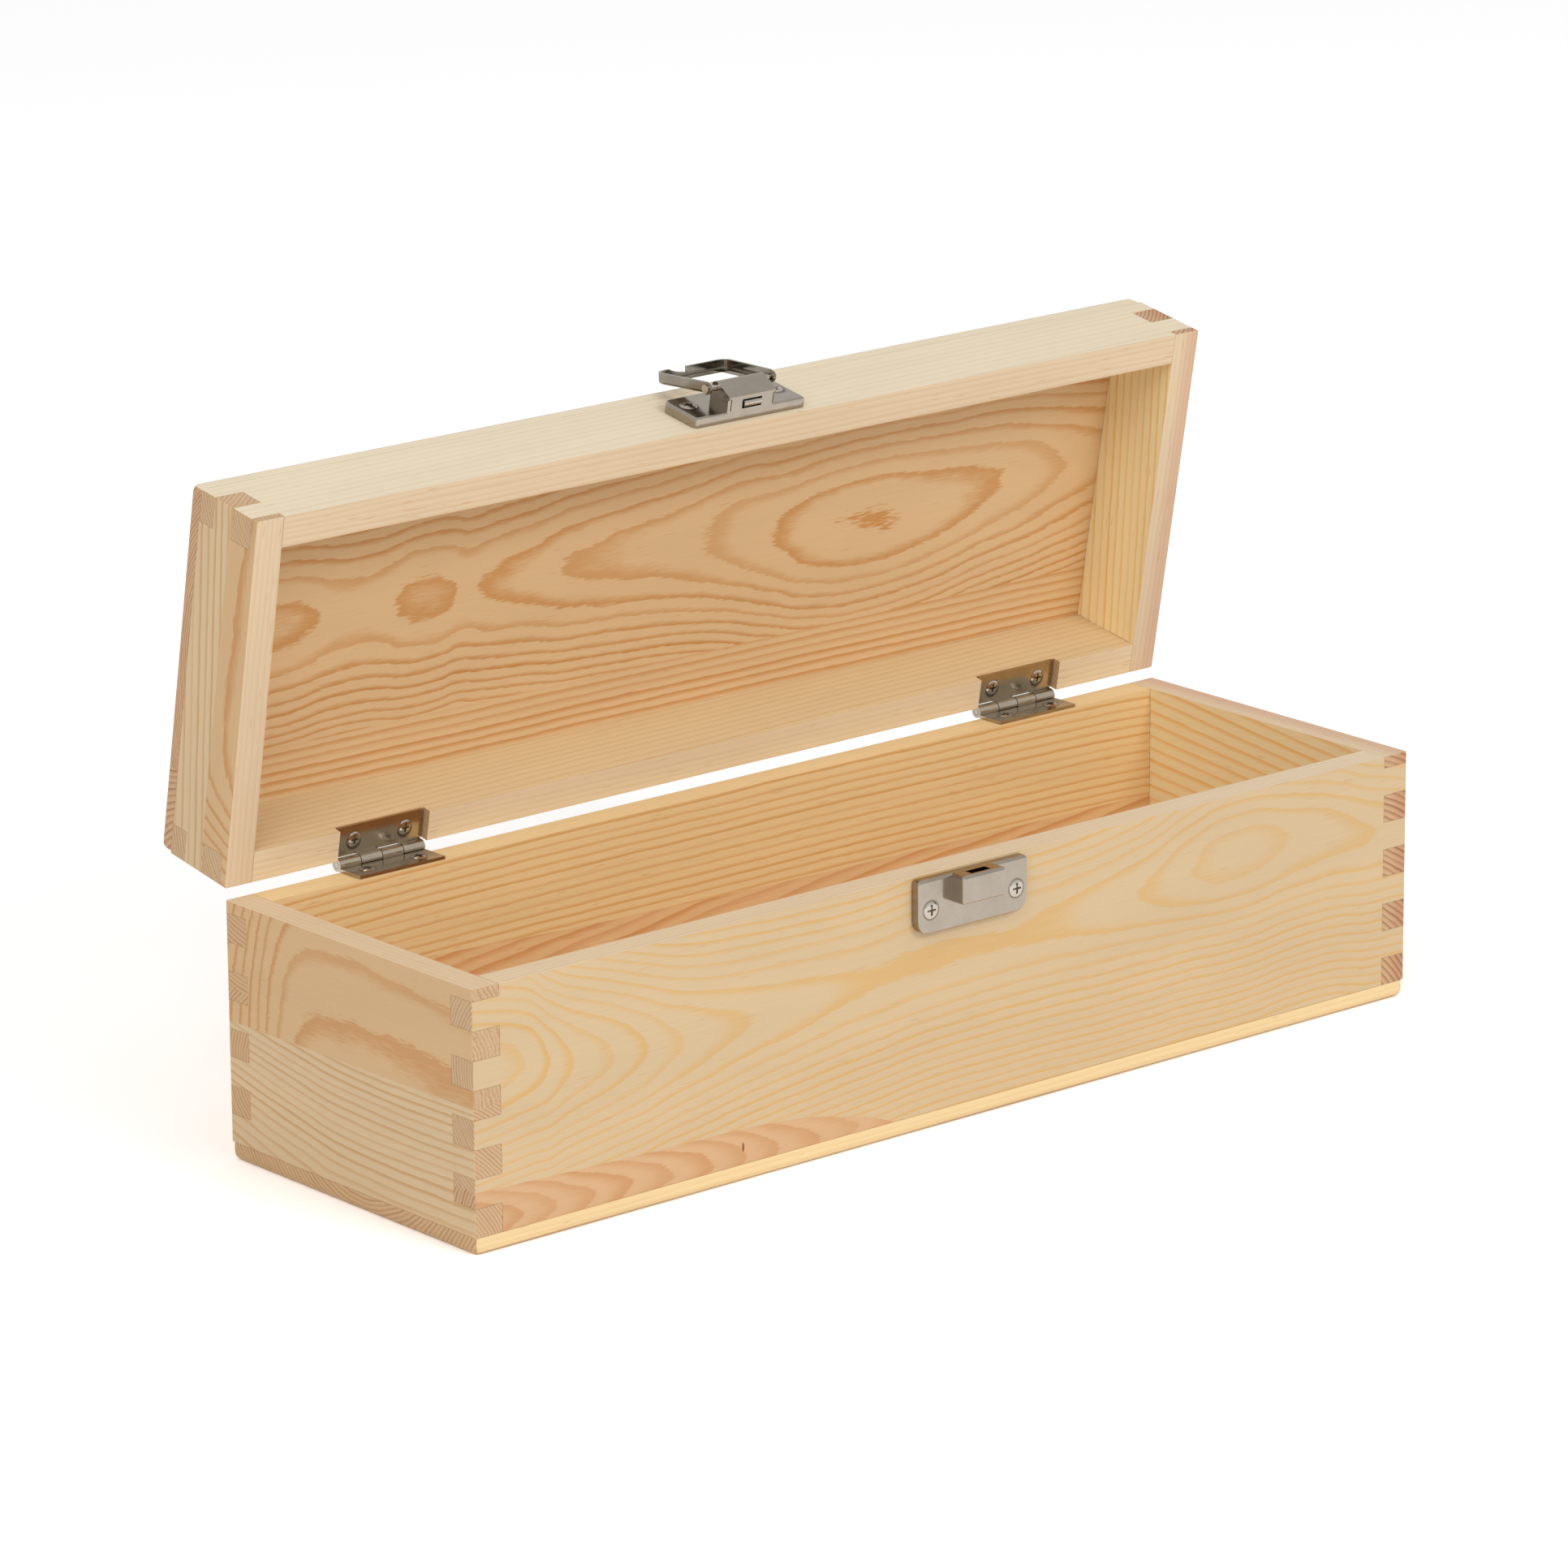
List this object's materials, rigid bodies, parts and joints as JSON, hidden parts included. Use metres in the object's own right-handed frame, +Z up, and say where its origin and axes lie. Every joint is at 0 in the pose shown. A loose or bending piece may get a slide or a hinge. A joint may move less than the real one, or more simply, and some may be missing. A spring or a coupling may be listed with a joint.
{
  "type": "hinged wooden box",
  "caption": "Slim finger-jointed pine box with a lid on butt hinges, held shut by a plated snap latch on its front.",
  "frame": {"origin": "centre of the bottom board's underside", "axes": "+X along the box to its right end, +Y from the latch side to the hinge side, +Z up"},
  "size_m": [0.35, 0.1476, 0.1987],
  "materials": {
    "pine": "raw sanded pine, clear and matt",
    "nickel_plate": "bright nickel-plated sheet steel",
    "plated_screw": "nickel-plated steel, slightly duller than the sheet"
  },
  "bodies": {
    "box": {"front_wall": "pine", "back_wall": "pine", "left_end_wall": "pine", "right_end_wall": "pine", "bottom_board": "pine", "left_hinge_box_leaf": "nickel_plate", "left_hinge_pin": "plated_screw", "left_hinge_box_screw_1": "plated_screw", "left_hinge_box_screw_2": "plated_screw", "right_hinge_box_leaf": "nickel_plate", "right_hinge_pin": "plated_screw", "right_hinge_box_screw_1": "plated_screw", "right_hinge_box_screw_2": "plated_screw", "striker_plate": "nickel_plate", "striker_screw_1": "plated_screw", "striker_screw_2": "plated_screw"},
    "lid": {"lid_front_wall": "pine", "lid_back_wall": "pine", "lid_left_end_wall": "pine", "lid_right_end_wall": "pine", "lid_panel": "pine", "left_hinge_lid_leaf": "nickel_plate", "left_hinge_lid_screw_1": "plated_screw", "left_hinge_lid_screw_2": "plated_screw", "right_hinge_lid_leaf": "nickel_plate", "right_hinge_lid_screw_1": "plated_screw", "right_hinge_lid_screw_2": "plated_screw", "latch_base_plate": "nickel_plate", "latch_screw_1": "plated_screw", "latch_screw_2": "plated_screw"},
    "latch_lever_body": {"latch_lever": "nickel_plate", "latch_pivot_pin": "plated_screw"},
    "latch_tongue_body": {"latch_tongue": "nickel_plate"}
  },
  "joints": [
    {"name": "lid_hinge", "type": "hinge", "parent": "box", "child": "lid", "pos_m": [0, 0.0568, 0.07695], "axis": [-1, 0, 0], "range_deg": [-79.8, 106.2]},
    {"name": "latch_lever_pivot", "type": "hinge", "parent": "lid", "child": "latch_lever_body", "pos_m": [0.0015, 0.04242, 0.1967], "axis": [-1, 0, 0], "range_deg": [-197, 0]},
    {"name": "latch_tongue_slide", "type": "slide", "parent": "lid", "child": "latch_tongue_body", "axis": [0, -0.9842, -0.1771], "range_m": [0, 0.0065]}
  ],
  "couplings": [
    {"joint": "latch_tongue_slide", "follows": "latch_lever_pivot", "m_per_rad": -0.001862}
  ]
}
